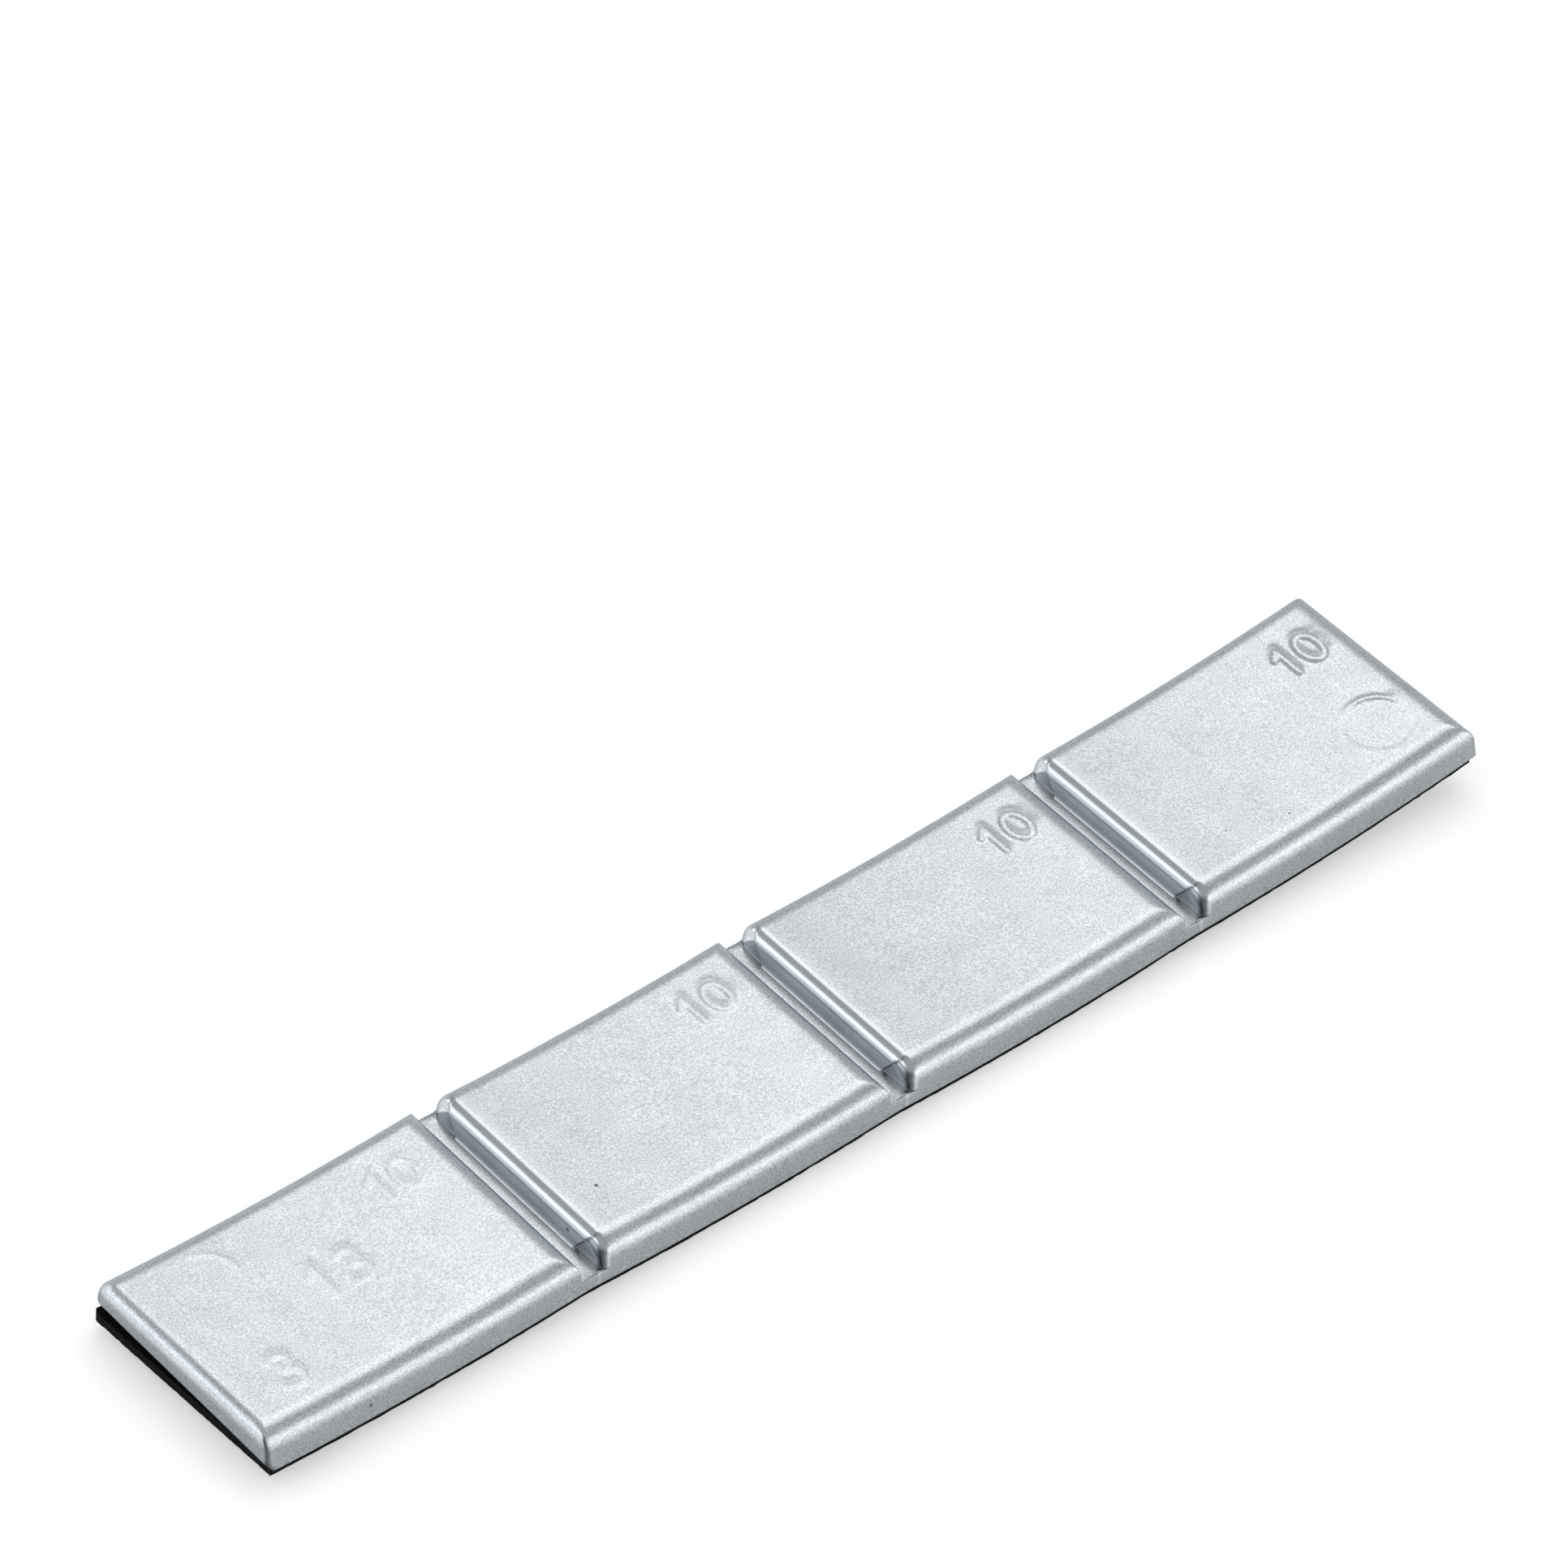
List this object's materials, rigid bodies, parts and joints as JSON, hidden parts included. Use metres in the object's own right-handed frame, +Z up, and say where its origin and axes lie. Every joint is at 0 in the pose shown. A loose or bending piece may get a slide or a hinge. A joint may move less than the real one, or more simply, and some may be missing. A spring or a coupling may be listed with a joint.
{
  "type": "wheel balance weight",
  "caption": "Stick-on wheel balance weight: a bowed, silver-coated zinc strip of break-off segments with rounded edges and bent grooves, on a black foam adhesive tape.",
  "frame": {"origin": "middle of the whole part's length and width, on the surface that it lies on", "axes": "+X along the strip from its crisp end to its soft end, +Y across it, +Z up from the adhesive side"},
  "size_m": [0.1084, 0.019, 0.0058],
  "materials": {
    "silver_coating": "fine-grained silver metallic coating on die-cast zinc, satin to semi-gloss",
    "black_foam": "matt black closed-cell foam tape with a fine grain"
  },
  "bodies": {
    "root": {"weight_strip": "silver_coating", "adhesive_tape": "black_foam"}
  },
  "joints": []
}
